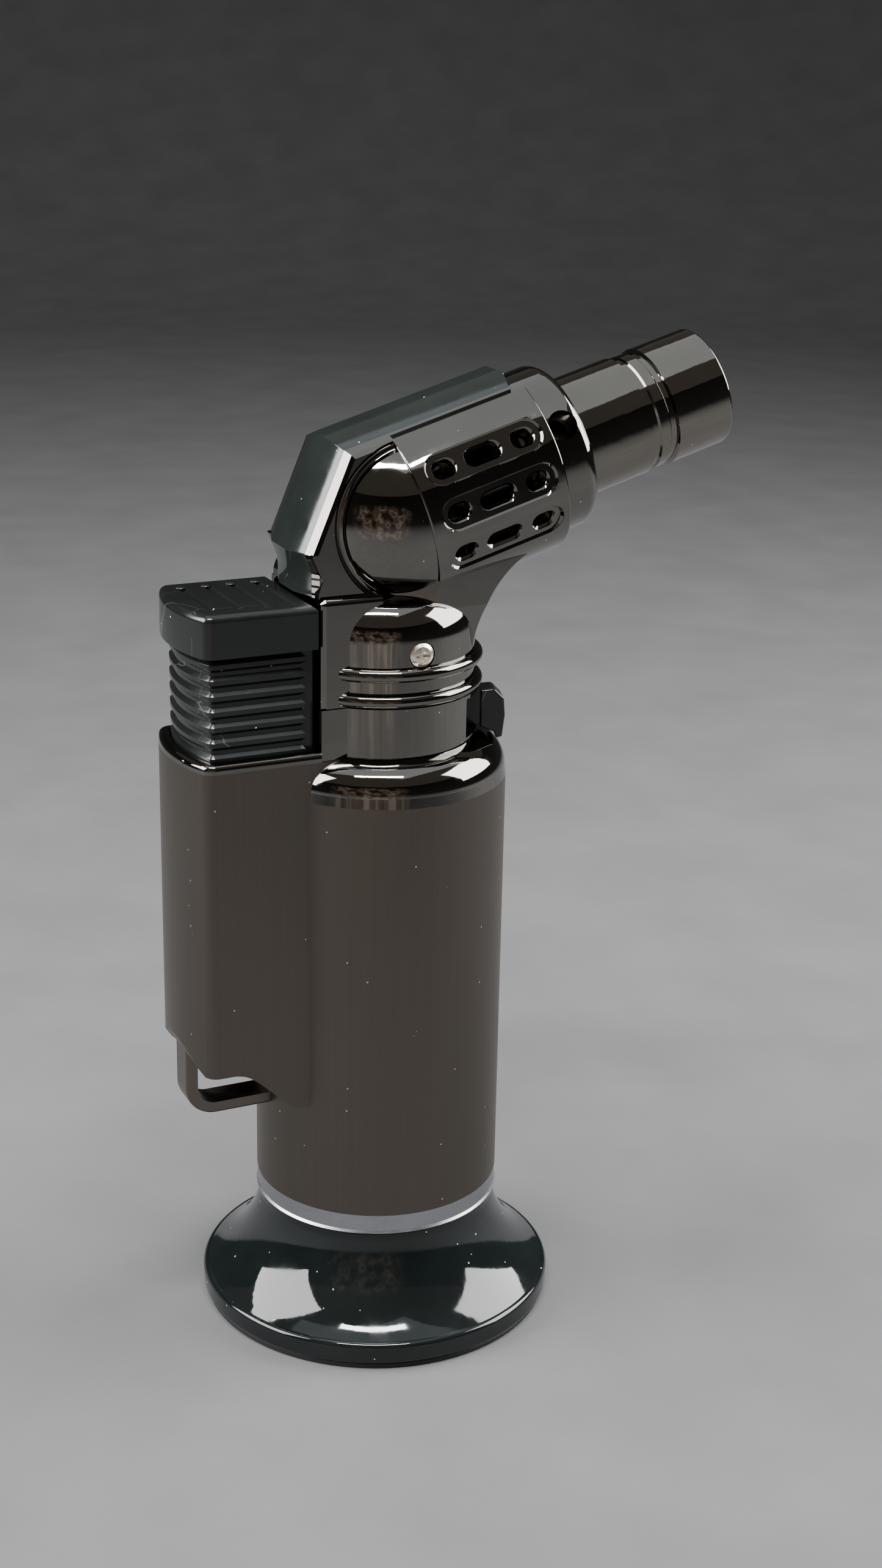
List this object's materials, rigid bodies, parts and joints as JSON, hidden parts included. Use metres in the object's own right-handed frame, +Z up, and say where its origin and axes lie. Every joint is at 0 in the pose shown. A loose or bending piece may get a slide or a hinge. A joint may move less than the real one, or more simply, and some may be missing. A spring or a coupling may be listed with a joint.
{
  "type": "butane torch",
  "caption": "Standing jewellery torch with a flared foot, round fuel sleeve, thumb-button grip block, flame lever, vented angled head and round nozzle.",
  "frame": {"origin": "centre of the filling hole in the underside of the stand, on the fuel sleeve's axis", "axes": "+Z up along the fuel sleeve, +X the way the nozzle points, +Y to the left of the nozzle"},
  "size_m": [0.0839, 0.0526, 0.1428],
  "materials": {
    "pad_rubber": "matte, faintly grained",
    "foot_black": "polished black moulding",
    "ring_grey": "satin grey",
    "sleeve_gunmetal": "satin gunmetal, brushed lengthways",
    "black_chrome": "dark mirror chrome",
    "nozzle_chrome": "dark mirror chrome",
    "loop_metal": "satin gunmetal",
    "spine_black": "polished black moulding",
    "button_black": "satin black moulding, lightly scratched",
    "inner_black": "matte black moulding",
    "tank_smoke": "smoked nylon",
    "seal_rubber": "matte",
    "brass": "machined",
    "spring_steel": "drawn wire",
    "screw_steel": "machined, slightly dull",
    "burner_steel": "drawn stainless",
    "ceramic_white": "glazed ceramic look",
    "piezo_white": "moulded igniter case",
    "hose_clear": "milky silicone tube"
  },
  "bodies": {
    "housing": {"foot_pad": "pad_rubber", "base_foot": "foot_black", "base_ring": "ring_grey", "body_sleeve": "sleeve_gunmetal", "grip_rim": "black_chrome", "grip_liner": "inner_black", "lanyard_loop": "loop_metal", "fuel_tank": "tank_smoke", "tank_lid": "inner_black", "tank_seal": "seal_rubber", "fill_valve_body": "brass", "fill_valve_spring": "spring_steel", "fill_valve_seal": "seal_rubber", "neck_collar": "black_chrome", "head_shell_right": "black_chrome", "head_shell_left": "black_chrome", "head_screws": "screw_steel", "spine_cover": "spine_black", "vent_cover_right": "black_chrome", "vent_cover_left": "black_chrome", "air_collar": "black_chrome", "nozzle_tube": "nozzle_chrome", "burner_tube": "burner_steel", "gas_jet": "brass", "flame_holder": "burner_steel", "electrode_insulator": "ceramic_white", "electrode": "spring_steel", "valve_body": "brass", "valve_seals": "seal_rubber", "valve_spring": "spring_steel", "gas_hose": "hose_clear", "inner_chassis": "inner_black", "lever_pin": "spring_steel", "piezo_body": "piezo_white", "piezo_spring": "spring_steel"},
    "button": {"button": "button_black", "piezo_plunger": "inner_black"},
    "rocker": {"rocker_lever": "brass"},
    "gas_outlet": {"valve_nozzle": "brass"},
    "flame_control": {"flame_lever": "button_black", "regulator_wheel": "inner_black"},
    "fill_stem": {"fill_valve_stem": "brass"}
  },
  "joints": [
    {"name": "button_slide", "type": "slide", "parent": "housing", "child": "button", "axis": [0, 0, -1], "range_m": [0, 0.0045], "stiffness_N_per_m": 1500, "springref_m": -0.002, "deforming": ["piezo_spring"]},
    {"name": "rocker_hinge", "type": "hinge", "parent": "housing", "child": "rocker", "pos_m": [-0.0052, 0, 0.099], "axis": [0, -1, 0], "range_deg": [0, 20]},
    {"name": "outlet_lift", "type": "slide", "parent": "housing", "child": "gas_outlet", "axis": [0, 0, 1], "range_m": [0, 0.0013], "deforming": ["valve_spring"]},
    {"name": "flame_turn", "type": "hinge", "parent": "housing", "child": "flame_control", "pos_m": [0, 0, 0.0905], "axis": [0, 0, 1], "range_deg": [-25, 55]},
    {"name": "fill_stem_slide", "type": "slide", "parent": "housing", "child": "fill_stem", "axis": [0, 0, 1], "range_m": [0, 0.0015], "stiffness_N_per_m": 1200, "springref_m": -0.001, "deforming": ["fill_valve_spring"]}
  ],
  "couplings": [
    {"joint": "rocker_hinge", "follows": "button_slide", "rad_per_m": 66.8},
    {"joint": "outlet_lift", "follows": "button_slide", "ratio": 0.288}
  ]
}
